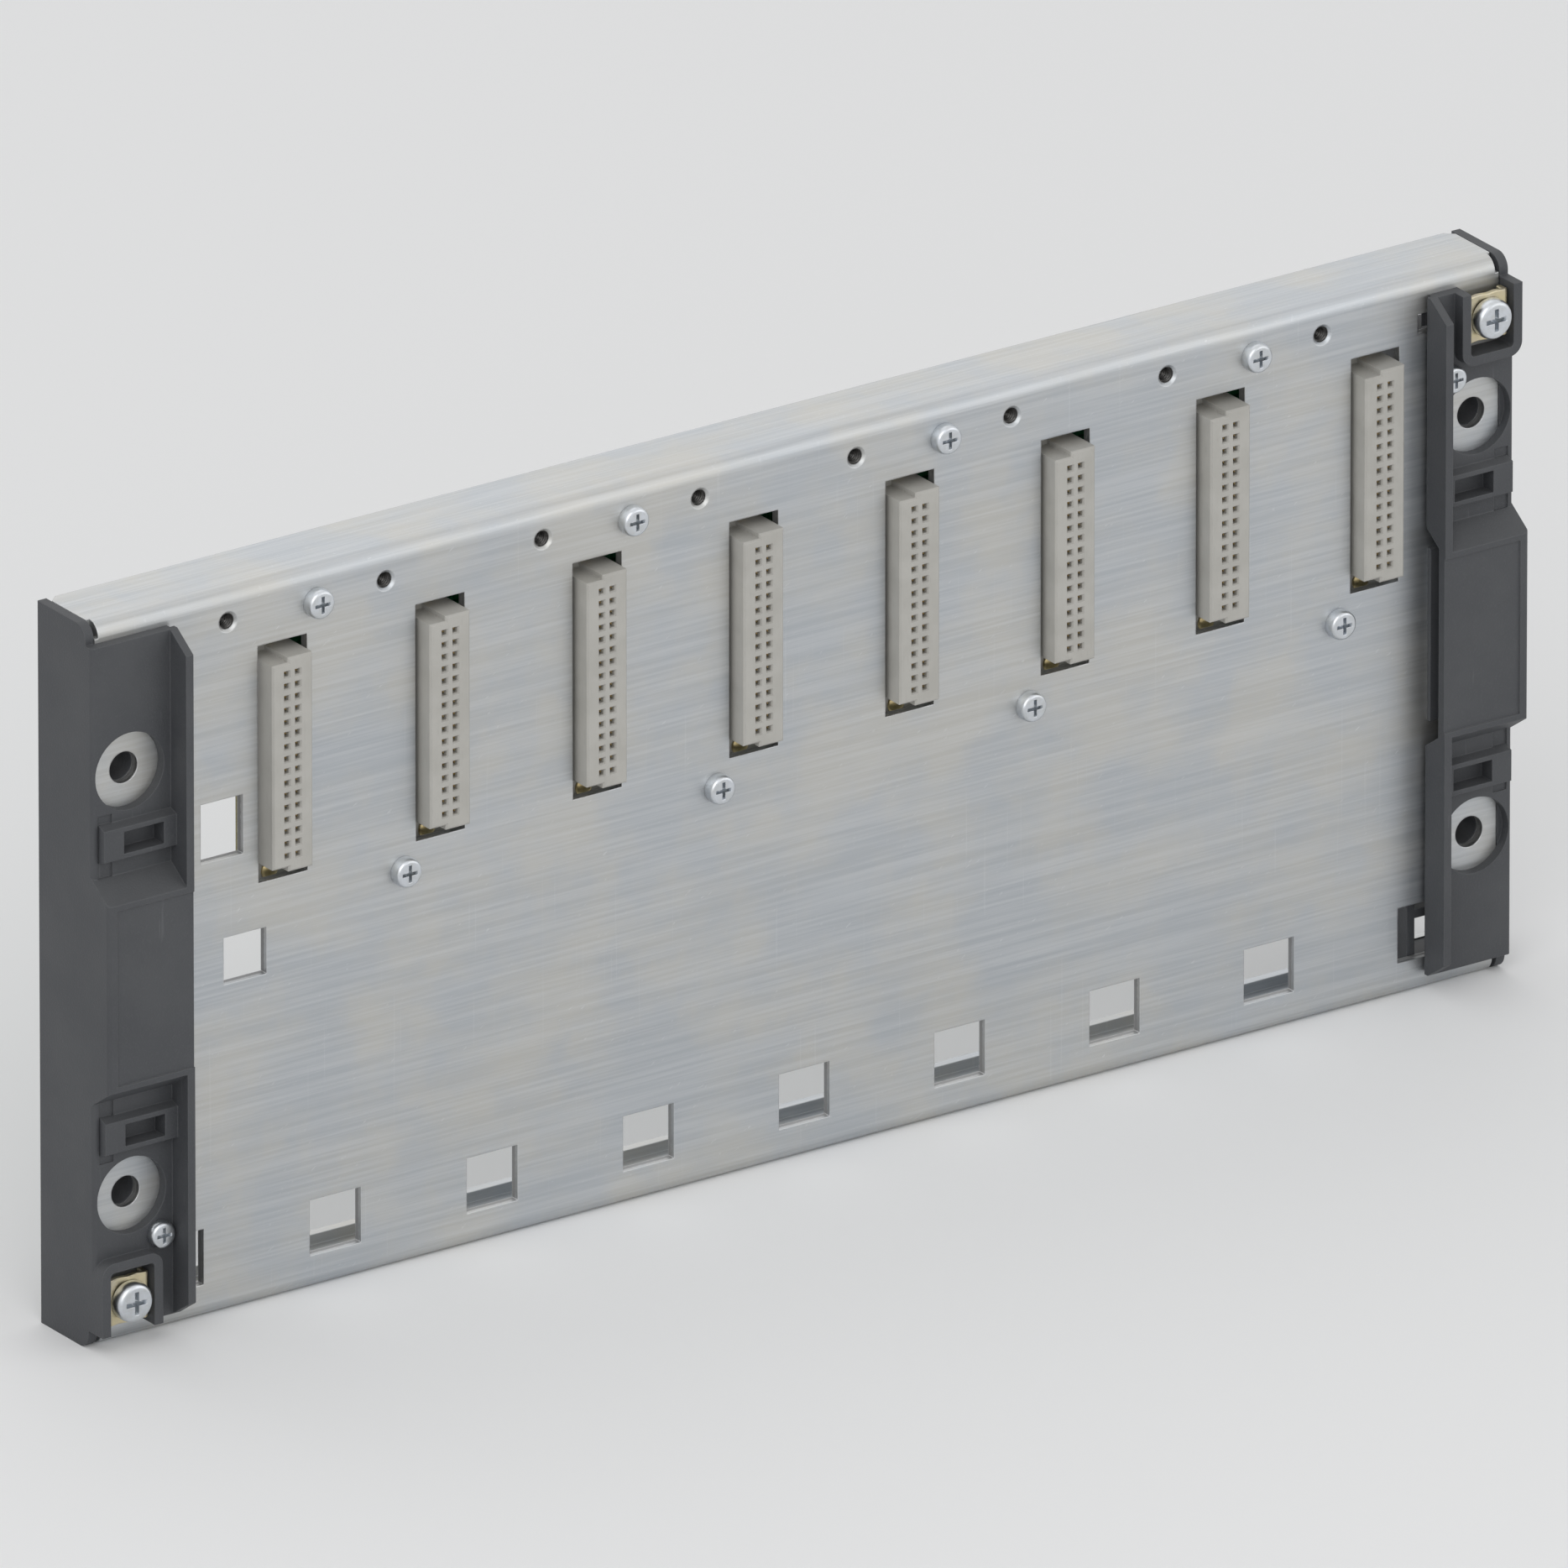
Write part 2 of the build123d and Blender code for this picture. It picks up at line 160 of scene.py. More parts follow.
class NodeSheet:
    # a node tree under construction, for materials and for geometry
    edgeRub = {"breakUp": 0.05, "start": 0.02, "full": 0.16}

    def __init__(self, tree):
        self.tree = tree
        self.start = None

    def add(self, kind, settings=None, sockets=None, out=0):
        node = self.tree.nodes.new(kind)
        for name, value in (settings or {}).items():
            if name == "choices":
                while len(node.index_switch_items) < value:
                    node.index_switch_items.new()
            else:
                setattr(node, name, value)
        for name, value in (sockets or {}).items():
            self.feed(node.inputs[name], value)
        return Wire(self, node.outputs[out]) if len(node.outputs) else node

    def feed(self, socket, value):
        if isinstance(value, list):
            for each in value:
                self.tree.links.new(each.socket, socket)
        elif isinstance(value, Wire):
            self.tree.links.new(value.socket, socket)
        else:
            socket.default_value = value

    def input(self, label, kind="NodeSocketFloat"):
        if self.start is None:
            self.start = self.tree.nodes.new("NodeGroupInput")
        self.tree.interface.new_socket(name=label, in_out="INPUT", socket_type=kind)
        return Wire(self, self.start.outputs[label])

    def pick(self, index, values):
        # the value that stands at the index
        sockets = {0: index, **{place + 1: value for place, value in enumerate(values)}}
        settings = {"data_type": "FLOAT", "choices": len(values)}
        return self.add("GeometryNodeIndexSwitch", settings, sockets)

    def vector(self, x, y, z):
        return self.add("ShaderNodeCombineXYZ", {}, {0: x, 1: y, 2: z})

    def tint(self, share, first, second):
        # colour blend, share 0 gives the first
        first = first if isinstance(first, Wire) else (*first, 1.0)
        second = second if isinstance(second, Wire) else (*second, 1.0)
        sockets = {0: share, 6: first, 7: second}
        return self.add("ShaderNodeMix", {"data_type": "RGBA"}, sockets, 2)

    def noise(self, place, scale, detail=3.0, rough=0.55):
        sockets = {"Vector": place, "Scale": scale, "Detail": detail, "Roughness": rough}
        return self.add("ShaderNodeTexNoise", {}, sockets)

    def streaks(self, place, perMetre, detail=3.0, rough=0.5):
        # noise drawn out along the axis with the lowest number
        return self.noise(place.stretch(*perMetre), 1.0, detail, rough)

    def place(self):
        return self.add("ShaderNodeTexCoord", {}, {}, "Object")

    def facing(self):
        return self.add("ShaderNodeNewGeometry", {}, {}, "True Normal")

    def rounded(self, radius):
        # normal with its corners softened
        return self.add("ShaderNodeBevel", {"samples": 4}, {"Radius": radius})

    def edgeWear(self, soft, grit):
        # 1 on the corners of a piece, broken up by the grit pattern
        corner = 1.0 - soft.dot(self.facing())
        rubbed = corner + (grit - 0.5) * self.edgeRub["breakUp"]
        return rubbed.fade(self.edgeRub["start"], self.edgeRub["full"])

    def bump(self, height, depth, normal, strength=1.0):
        sockets = {"Height": height, "Distance": depth, "Strength": strength, "Normal": normal}
        return self.add("ShaderNodeBump", {}, sockets)


def makeMaterial(name, build):
    material = bpy.data.materials.new(name)
    material.use_nodes = True
    material.node_tree.nodes.clear()
    sheet = NodeSheet(material.node_tree)
    shader = sheet.add("ShaderNodeBsdfPrincipled", {}, build(sheet))
    sheet.add("ShaderNodeOutputMaterial", {}, {"Surface": shader})
    return material


# Zinc-plated sheet: rolling grain along the rack, cloudy passivation, sheared window edges
zinc = {
    "cool": (0.455, 0.480, 0.505),
    "warm": (0.520, 0.515, 0.490),
    "cutEdge": (0.30, 0.30, 0.30),
    "worn": (0.70, 0.71, 0.72),
    "roughness": 0.34,
    "grainDepth": 0.012 * mm,
    "corner": 0.35 * mm,
    "clouds": 38.0,
    "specks": 900.0,
    "grain": (26.0, 1500.0, 1500.0),
    "uprightScratches": (1400.0, 1400.0, 22.0),
    "slantScratches": (13.0, 2300.0, 2300.0),
    "slant": (0.2, 0.55, 0.3),
    "cutHalfWidth": 164.5 * mm,  # walls inside these limits belong to windows and holes
    "cutHalfHeight": 72.0 * mm,
}


def zincSheet(sheet):
    place = sheet.place()
    cloud = sheet.noise(place, zinc["clouds"], 4.0, 0.6)
    fine = sheet.noise(place, zinc["specks"], 3.0, 0.6)
    grain = sheet.streaks(place, zinc["grain"], 3.0, 0.6)
    upright = sheet.streaks(place, zinc["uprightScratches"], 2.0).fade(0.66, 0.72)
    turned = sheet.add("ShaderNodeMapping", {}, {"Vector": place, "Rotation": zinc["slant"]})
    slanted = sheet.streaks(turned, zinc["slantScratches"], 2.0).fade(0.71, 0.76)
    scratch = (upright * 0.3).high(slanted)
    # window walls: smooth where the punch cut, rough where the sheet broke
    depth = (place.part(1) - rack["sheetFront"]) / rack["sheetThickness"]
    sideways = (1.0 - abs(sheet.facing().part(1))).fade(0.8, 0.95)
    wall = sideways * depth.fade(0.0, 0.05) * (1.0 - depth.fade(0.97, 1.0))
    cut = wall * (abs(place.part(2)) < zinc["cutHalfHeight"])
    cut = cut * (abs(place.part(0)) < zinc["cutHalfWidth"])
    broken = cut * (depth + fine * 0.35).fade(0.55, 0.68)
    soft = sheet.rounded(zinc["corner"])
    wear = sheet.edgeWear(soft, fine)
    base = sheet.tint(cloud.fade(0.36, 0.66), zinc["cool"], zinc["warm"])
    base = sheet.tint(grain.fade(0.30, 0.75) * 0.35, base, zinc["worn"])
    base = sheet.tint(cut * 0.35 + broken * 0.5, base, zinc["cutEdge"])
    base = sheet.tint(wear * 0.7, base, zinc["worn"])
    base = sheet.tint(scratch * 0.4, base, zinc["worn"])
    rough = zinc["roughness"] + cloud * 0.14 + grain * 0.12 + broken * 0.22
    rough = rough - wear * 0.10 - scratch * 0.08
    height = grain + fine * 0.6 + broken * fine * 3.0
    return {
        "Base Color": base,
        "Roughness": rough,
        "Metallic": 1.0,
        "Normal": sheet.bump(height, zinc["grainDepth"], soft),
    }


# Moulded end caps: dark, spark-eroded grain, rubbed lighter and smoother on the corners
capPlastic = {
    "colour": (0.052, 0.055, 0.061),
    "dust": (0.095, 0.098, 0.102),
    "rubbed": (0.125, 0.130, 0.138),
    "roughness": 0.44,
    "grainSize": 0.42 * mm,
    "grainDepth": 0.075 * mm,
    "corner": 0.32 * mm,
    "specks": 6200.0,
    "clouds": 55.0,
    "flow": (90.0, 90.0, 14.0),
    "scuffs": (900.0, 900.0, 60.0),
}


def mouldedCap(sheet):
    place = sheet.place()
    grain = sheet.noise(place, 1.0 / capPlastic["grainSize"], 2.0, 0.5)
    fine = sheet.noise(place, capPlastic["specks"], 2.0, 0.6)
    cloud = sheet.noise(place, capPlastic["clouds"], 4.0, 0.6)
    flow = sheet.streaks(place, capPlastic["flow"])
    scuff = sheet.streaks(place, capPlastic["scuffs"], 2.0).fade(0.70, 0.78)
    soft = sheet.rounded(capPlastic["corner"])
    wear = sheet.edgeWear(soft, grain)
    upward = sheet.facing().part(2).fade(0.4, 0.9)
    dusty = cloud.fade(0.35, 0.75) * 0.25 + upward * 0.35
    base = sheet.tint(dusty, capPlastic["colour"], capPlastic["dust"])
    base = sheet.tint(wear * 0.65, base, capPlastic["rubbed"])
    base = sheet.tint(scuff * 0.3, base, capPlastic["rubbed"])
    base = sheet.tint(grain.fade(0.52, 0.70) * 0.22, base, capPlastic["dust"])
    rough = capPlastic["roughness"] + grain * 0.22 + flow * 0.06 - wear * 0.12 + upward * 0.08
    height = grain + fine * 0.35 + flow * 0.5
    return {
        "Base Color": base,
        "Roughness": rough,
        "Normal": sheet.bump(height, capPlastic["grainDepth"], soft, 0.8),
    }


# Glass-filled connector plastic: pale grey, faint fibre flow, corners slightly bright
connectorPlastic = {
    "colour": (0.405, 0.395, 0.365),
    "pale": (0.445, 0.435, 0.405),
    "deep": (0.33, 0.32, 0.295),
    "rubbed": (0.60, 0.59, 0.56),
    "roughness": 0.42,
    "fibreDepth": 0.010 * mm,
    "corner": 0.18 * mm,
    "fibres": (1600.0, 1600.0, 260.0),
    "clouds": 160.0,
}


def glassFilled(sheet):
    place = sheet.place()
    fibre = sheet.streaks(place, connectorPlastic["fibres"], 3.0, 0.6)
    cloud = sheet.noise(place, connectorPlastic["clouds"], 3.0, 0.5)
    soft = sheet.rounded(connectorPlastic["corner"])
    wear = sheet.edgeWear(soft, fibre)
    base = sheet.tint(cloud.fade(0.3, 0.7), connectorPlastic["colour"], connectorPlastic["pale"])
    base = sheet.tint(fibre.fade(0.55, 0.8) * 0.35, base, connectorPlastic["deep"])
    base = sheet.tint(wear * 0.45, base, connectorPlastic["rubbed"])
    return {
        "Base Color": base,
        "Roughness": connectorPlastic["roughness"] + fibre * 0.16 + cloud * 0.06,
        "Normal": sheet.bump(fibre, connectorPlastic["fibreDepth"], soft),
    }


# Bus board: solder mask over woven laminate, with the tracks showing through as lighter lines
boardFinish = {
    "mask": (0.012, 0.105, 0.045),
    "track": (0.030, 0.190, 0.080),
    "edge": (0.42, 0.38, 0.20),
    "edgeSpecks": (0.24, 0.22, 0.12),
    "roughness": 0.26,
    "trackPitch": 1.27 * mm,
    "trackDepth": 0.03 * mm,
    "corner": 0.1 * mm,
    "levelRuns": (22.0, 22.0, 420.0),
    "uprightRuns": (420.0, 420.0, 30.0),
    "weave": 420.0,
    "specks": 2400.0,
}


def solderMask(sheet):
    place = sheet.place()
    facing = abs(sheet.facing().part(1))
    level = abs((place.part(2) / boardFinish["trackPitch"]) % 1.0).fade(0.40, 0.46)
    gaps = sheet.streaks(place, boardFinish["levelRuns"], 1.0).fade(0.40, 0.46)
    riser = abs((place.part(0) / boardFinish["trackPitch"]) % 1.0).fade(0.52, 0.58)
    upright = sheet.streaks(place, boardFinish["uprightRuns"], 1.0).fade(0.56, 0.60)
    track = (level * gaps * (1.0 - upright)).high(riser * upright) * facing.fade(0.7, 0.9)
    bands = {"Vector": place, "Scale": boardFinish["weave"]}
    warp = sheet.add("ShaderNodeTexWave", {"bands_direction": "X"}, bands, 1)
    weft = sheet.add("ShaderNodeTexWave", {"bands_direction": "Z"}, bands, 1)
    speck = sheet.noise(place, boardFinish["specks"], 2.0, 0.6)
    edge = (1.0 - facing).fade(0.5, 0.9)
    base = sheet.tint(track, boardFinish["mask"], boardFinish["track"])
    base = sheet.tint(warp * weft * 0.10, base, boardFinish["track"])
    base = sheet.tint(edge, base, boardFinish["edge"])
    base = sheet.tint(edge * speck.fade(0.4, 0.7) * 0.5, base, boardFinish["edgeSpecks"])
    height = track + warp * weft * 0.25
    soft = sheet.rounded(boardFinish["corner"])
    return {
        "Base Color": base,
        "Roughness": boardFinish["roughness"] + edge * 0.4 + speck * 0.10,
        "Normal": sheet.bump(height, boardFinish["trackDepth"], soft),
    }


# Plated metals: the colour, its cloudy shade, the worn corners, the roughness, marks per metre
platings = {
    "rivetBrass": ((0.66, 0.55, 0.30), (0.54, 0.43, 0.22), (0.80, 0.70, 0.45), 0.28, 420.0),
    "spacerNickel": ((0.66, 0.63, 0.55), (0.56, 0.53, 0.46), (0.78, 0.76, 0.70), 0.26, 380.0),
    "screwZinc": ((0.66, 0.69, 0.73), (0.58, 0.60, 0.61), (0.84, 0.86, 0.88), 0.24, 520.0),
    "nutZinc": ((0.60, 0.62, 0.64), (0.52, 0.53, 0.53), (0.76, 0.78, 0.80), 0.32, 460.0),
    "clampPassivated": ((0.68, 0.60, 0.38), (0.58, 0.52, 0.40), (0.80, 0.76, 0.62), 0.30, 300.0),
    "contactGold": ((0.78, 0.60, 0.26), (0.70, 0.52, 0.22), (0.88, 0.72, 0.40), 0.22, 900.0),
    # the tapped threads are bare cut steel, but their near-black colour is painted shade for the
    # inside of the holes
    "tappedSteelPaintedShade": ((0.16, 0.155, 0.15), (0.09, 0.088, 0.085), (0.34, 0.34, 0.34), 0.38, 900.0),
    "solderTin": ((0.66, 0.67, 0.68), (0.55, 0.56, 0.57), (0.80, 0.80, 0.80), 0.24, 900.0),
}
platingRelief = {"depth": 0.006 * mm, "corner": 0.12 * mm}


def platedMetal(name):
    colour, shade, worn, roughness, marks = platings[name]

    def build(sheet):
        place = sheet.place()
        cloud = sheet.noise(place, marks, 4.0, 0.6)
        fine = sheet.noise(place, marks * 9.0, 3.0, 0.6)
        soft = sheet.rounded(platingRelief["corner"])
        wear = sheet.edgeWear(soft, fine)
        base = sheet.tint(cloud.fade(0.32, 0.70), colour, shade)
        return {
            "Base Color": sheet.tint(wear * 0.6, base, worn),
            "Roughness": roughness + cloud * 0.12 + fine * 0.08 - wear * 0.08,
            "Metallic": 1.0,
            "Normal": sheet.bump(fine, platingRelief["depth"], soft),
        }

    return makeMaterial(name, build)


finishes = {
    "sheet_steel": makeMaterial("zincPlatedSheet", zincSheet),
    "cap_plastic": makeMaterial("grainedCapPlastic", mouldedCap),
    "board_laminate": makeMaterial("solderMaskedLaminate", solderMask),
    "connector_plastic": makeMaterial("glassFilledPlastic", glassFilled),
    "rivet_brass": platedMetal("rivetBrass"),
    "plated_brass": platedMetal("spacerNickel"),
    "plated_screw": platedMetal("screwZinc"),
    "plated_nut": platedMetal("nutZinc"),
    "clamp_plate": platedMetal("clampPassivated"),
}
contactGold = platedMetal("contactGold")
# near-black thread finish: painted shade inside the tapped holes
tappedSteelPaintedShade = platedMetal("tappedSteelPaintedShade")
solderTin = platedMetal("solderTin")

nodeFinish = {
    "chassis": "sheet_steel",
    "left_end_cap": "cap_plastic",
    "right_end_cap": "cap_plastic",
    "backplane_board": "board_laminate",
    "connector_rivets": "rivet_brass",
    "board_spacers": "plated_brass",
    "board_screws": "plated_screw",
    "cap_screws": "plated_screw",
    "left_ground_screw": "plated_screw",
    "right_ground_screw": "plated_screw",
    "ground_nuts": "plated_nut",
    "left_ground_clamp": "clamp_plate",
    "right_ground_clamp": "clamp_plate",
}
for number in range(1, rack["modules"] + 1):
    nodeFinish[f"bus_connector_{number}"] = "connector_plastic"
for node, finish in nodeFinish.items():
    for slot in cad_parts[node].material_slots:
        slot.material = finishes[finish]
print("finishes on", len(nodeFinish), "nodes")


# Geometry trees: each one ends in real geometry with one finish, turned into a plain mesh
def startTree(name):
    tree = bpy.data.node_groups.new(name, "GeometryNodeTree")
    tree.interface.new_socket(name="Geometry", in_out="OUTPUT", socket_type="NodeSocketGeometry")
    return NodeSheet(tree)


def tidyMesh(mesh, sharpAngle):
    shell = bmesh.new()
    shell.from_mesh(mesh)
    bmesh.ops.remove_doubles(shell, verts=shell.verts, dist=0.0005 * mm)
    bmesh.ops.recalc_face_normals(shell, faces=shell.faces)
    shell.to_mesh(mesh)
    shell.free()
    mesh.shade_smooth()
    mesh.set_sharp_from_angle(angle=math.radians(sharpAngle))


def growPiece(name, sheet, shape, finish, values, standsFor=(), sharpAngle=35):
    real = sheet.add("GeometryNodeRealizeInstances", {}, {"Geometry": shape})
    painted = sheet.add("GeometryNodeSetMaterial", {}, {"Geometry": real, "Material": finish})
    sheet.add("NodeGroupOutput", {}, {"Geometry": painted})
    piece = bpy.data.objects.new(name, bpy.data.meshes.new(name))
    bpy.context.scene.collection.objects.link(piece)
    maker = piece.modifiers.new("grow", "NODES")
    maker.node_group = sheet.tree
    for item in sheet.tree.interface.items_tree:
        if item.in_out == "INPUT":
            maker[item.identifier] = values[item.name]
    depsgraph = bpy.context.evaluated_depsgraph_get()
    grown = bpy.data.meshes.new_from_object(piece.evaluated_get(depsgraph))
    piece.modifiers.remove(maker)
    piece.data = grown
    tidyMesh(grown, sharpAngle)
    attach(piece, "root")
    if standsFor:
        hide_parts(*standsFor)
    print(name, len(grown.polygons), "faces")


def spreadOn(sheet, points, shape, turn=(0.0, 0.0, 0.0)):
    sockets = {"Points": points, "Instance": shape, "Rotation": turn}
    return sheet.add("GeometryNodeInstanceOnPoints", {}, sockets)


def gather(sheet, shapes):
    return sheet.add("GeometryNodeJoinGeometry", {}, {"Geometry": shapes})


# A row is its count, the place of the first copy, the step along X and the turn about Y
def layRows(sheet, shape, rows):
    laid = []
    for count, start, step, turn in rows:
        sockets = {"Count": count, "Start Location": start, "Offset": (step, 0.0, 0.0)}
        points = sheet.add("GeometryNodeMeshLine", {"mode": "OFFSET"}, sockets)
        laid.append(spreadOn(sheet, points, shape, (0.0, math.radians(turn), 0.0)))
    return gather(sheet, laid)


def moduleRow(aside=0.0, y=0.0, z=rack["connectorZ"], fewer=0):
    # one copy for each module, as far aside from its connector
    return (rack["modules"] - fewer, (rack["firstX"] + aside, y, z), rack["pitch"], 0)


# Turned shape about Y. A ring is (radius, share of the cross outline, place along Y).
def turnedShape(sheet, spokes, rings, armLength=1.0, armWidth=1.0):
    counts = {"Vertices X": spokes + 1, "Vertices Y": len(rings)}
    grid = sheet.add("GeometryNodeMeshGrid", {}, counts)
    index = sheet.add("GeometryNodeInputIndex")
    ring = index % len(rings)
    turn = (index / len(rings)).floor() * (2 * math.pi / spokes)
    across = abs(turn.cos()).high(abs(turn.sin()))
    along = abs(turn.cos()).low(abs(turn.sin())).high(0.0001)
    outline = (armLength / across).low(armWidth / along)
    radii, shares, heights = ([each[column] for each in rings] for column in range(3))
    radius = sheet.pick(ring, radii) + sheet.pick(ring, shares) * outline
    height = sheet.pick(ring, heights)
    spot = sheet.vector(radius * turn.cos(), height, radius * turn.sin())
    return sheet.add("GeometryNodeSetPosition", {}, {"Geometry": grid, "Position": spot})


# Screw thread about Y: a helical ridge on a bar, or inside a ring whose outer side is the rim
def threadShape(sheet, spokes, turns, root, crest, pitch, rim=None):
    steps = 4
    last = turns * steps
    count = last + (3 if rim is None else 4)  # the ends fold in or out, and a ring closes
    counts = {"Vertices X": spokes + 1, "Vertices Y": count}
    grid = sheet.add("GeometryNodeMeshGrid", {}, counts)
    index = sheet.add("GeometryNodeInputIndex")
    row = index % count
    share = (index / count).floor() / spokes
    phase = abs((row / steps + share) % 1.0 - 0.5) * 2.0
    step = (row - 1.0).high(0.0).low(last) * (row < last + 2.5)
    runIn = (step / steps).low(1.0)
    ridge = root + (crest - root) * phase.fade(0.15, 0.85) * runIn
    onRidge = (row > 0.5) * (row < last + 1.5)
    radius = ridge * onRidge if rim is None else rim + (ridge - rim) * onRidge
    turn = share * (2 * math.pi)
    spot = sheet.vector(radius * turn.cos(), step * (pitch / steps), radius * turn.sin())
    return sheet.add("GeometryNodeSetPosition", {}, {"Geometry": grid, "Position": spot})


# Flat-faced screws with a tapered cross recess, in three sizes
boardScrew = {
    "Head": 6.1 * mm, "Head height": 2.4 * mm, "Shank": 2.9 * mm, "Grip": 6.4 * mm,
    "pitch": 0.5 * mm, "perRow": 4,
    "upperX": 7.95 * mm, "upperDrop": 7.3 * mm, "lowerX": -8.68 * mm, "lowerDrop": 68.4 * mm,
}
capScrew = {
    "Head": 5.6 * mm, "Head height": 2.0 * mm, "Shank": 3.0 * mm, "Grip": 11.0 * mm,
    "pitch": 0.5 * mm, "fromEnd": 15.1 * mm, "fromBottom": 21.8 * mm, "seat": -18.55 * mm,
}
groundScrew = {
    "Head": 8.2 * mm, "Head height": 2.8 * mm, "Shank": 4.0 * mm, "Grip": 9.6 * mm,
    "pitch": 0.7 * mm, "fromEnd": 7.1 * mm, "fromBottom": 10.2 * mm, "seat": -20.0 * mm,
}
screwOutline = {
    # shares of the head's radius and height
    "head": [
        (0.0, 0.0), (0.975, 0.0), (1.0, 0.06), (1.0, 0.50), (0.985, 0.66),
        (0.945, 0.82), (0.885, 0.935), (0.81, 0.99), (0.74, 1.0),
    ],
    # shares of the cross outline and of the head's height
    "recess": [(1.06, 1.0), (1.0, 0.955), (0.86, 0.50), (0.42, 0.36), (0.0, 0.30)],
    "arm": 0.57,
    "armCorner": 11.25,  # degrees from an arm's middle to its corner, two spokes
    "spokes": 64,
    "threadSpokes": 16,
    "threadRoot": 0.86,
}


def screwShape(sheet, size):
    head, shank = sheet.input("Head") * 0.5, sheet.input("Shank") * 0.5
    height, grip = sheet.input("Head height"), sheet.input("Grip")
    rings = [(head * out, 0.0, height * -up) for out, up in screwOutline["head"]]
    rings += [(0.0, out, height * -up) for out, up in screwOutline["recess"]]
    arm = head * screwOutline["arm"]
    armWidth = arm * math.tan(math.radians(screwOutline["armCorner"]))
    top = turnedShape(sheet, screwOutline["spokes"], rings, arm, armWidth)
    turns = int(size["Grip"] / size["pitch"])
    root, spokes = shank * screwOutline["threadRoot"], screwOutline["threadSpokes"]
    return gather(sheet, [top, threadShape(sheet, spokes, turns, root, shank, grip / turns)])


def growScrews(name, size, rows, standsFor):
    sheet = startTree(name)
    screws = layRows(sheet, screwShape(sheet, size), rows)
    finish = finishes["plated_screw"]
    growPiece(name, sheet, screws, finish, size, standsFor, sharpAngle=40)


def screwRow(startX, drop):
    start = (startX, rack["sheetFront"], rack["top"] - drop)
    return (boardScrew["perRow"], start, 2 * rack["pitch"], 0)


def bothEnds(size, seat):
    # the right end cap is the left one turned half a turn
    x, z = rack["leftEnd"] + size["fromEnd"], rack["bottom"] + size["fromBottom"]
    return [(1, (x, seat, z), 0.0, 0), (1, (-x, seat, -z), 0.0, 180)]


boardScrewRows = [
    screwRow(rack["firstX"] + boardScrew["upperX"], boardScrew["upperDrop"]),
    screwRow(rack["firstX"] + rack["pitch"] + boardScrew["lowerX"], boardScrew["lowerDrop"]),
]
groundScrewNodes = ["left_ground_screw", "right_ground_screw"]
growScrews("boardScrewsCut", boardScrew, boardScrewRows, ["board_screws"])
growScrews("capScrewsCut", capScrew, bothEnds(capScrew, capScrew["seat"]), ["cap_screws"])
growScrews(
    "groundScrewsCut", groundScrew, bothEnds(groundScrew, groundScrew["seat"]), groundScrewNodes
)


# Pieces whose body is built and then spread in rows
def putInOrder(build):
    # extruding shuffles its new faces, so everything is put in one order, the same on every run
    weights = Vector((1.0, 7.317, 53.93))
    build.verts.sort(key=lambda vert: vert.co.dot(weights))
    build.edges.sort(key=lambda edge: (edge.verts[0].co + edge.verts[1].co).dot(weights))
    build.faces.sort(key=lambda face: face.calc_center_median().dot(weights))


def newObject(name, build):
    putInOrder(build)
    mesh = bpy.data.meshes.new(name)
    build.to_mesh(mesh)
    build.free()
    thing = bpy.data.objects.new(name, mesh)
    bpy.context.scene.collection.objects.link(thing)
    return thing


def edgesOf(verts):
    # each edge once, in the same order on every run
    return list(dict.fromkeys(edge for vert in verts for edge in vert.link_edges))


def growCopies(name, body, rows, finish, standsFor=(), sharpAngle=30):
    sheet = startTree(name)
    source = sheet.input("Body", "NodeSocketObject")
    shape = sheet.add("GeometryNodeObjectInfo", {}, {"Object": source}, "Geometry")
    copies = layRows(sheet, shape, rows)
    growPiece(name, sheet, copies, finish, {"Body": body}, standsFor, sharpAngle)
    bpy.data.objects.remove(body)


# Ground clamps: a pressed saddle with upright flutes, which the screw pulls down on the wire
clampShape = {
    "half": 4.8 * mm,
    "front": -20.0 * mm,
    "thickness": 1.2 * mm,
    "legDepth": 2.8 * mm,
    "fluteStep": 2.05 * mm,
    "fluteDepth": 0.42 * mm,
    "cornerDrop": 0.50 * mm,
    "corner": 0.14 * mm,
    "bore": 4.3 * mm,
    "boreSides": 40,
    "drillLength": 8.0 * mm,
}


def clampBody():
    half, thickness, front = (clampShape[name] for name in ("half", "thickness", "front"))
    foot = front + clampShape["legDepth"]
    shoulder = front + clampShape["cornerDrop"]
    flutes = [
        (count * clampShape["fluteStep"], front + (count % 2) * clampShape["fluteDepth"])
        for count in range(-2, 3)
    ]
    outside = [(-half, shoulder)] + flutes + [(half, shoulder)]
    wall = half - thickness
    inside = [(x, y + thickness) for x, y in flutes[1:-1]]
    inside = [(-wall, front + thickness)] + inside + [(wall, front + thickness)]
    profile = outside + [(half, foot), (wall, foot)] + inside[::-1] + [(-wall, foot), (-half, foot)]
    build = bmesh.new()
    low, high = ([build.verts.new((x, y, z)) for x, y in profile] for z in (-half, half))
    build.faces.new(low)
    build.faces.new(high)
    for first in range(len(profile)):
        second = (first + 1) % len(profile)
        build.faces.new((low[first], low[second], high[second], high[first]))
    bmesh.ops.recalc_face_normals(build, faces=build.faces)
    rims = [edge for edge in build.edges if edge.calc_face_angle(0.0) > math.radians(25)]
    bmesh.ops.bevel(
        build, geom=rims, offset=clampShape["corner"], segments=3,
        affect="EDGES", clamp_overlap=True,
    )
    return newObject("clampBody", build)


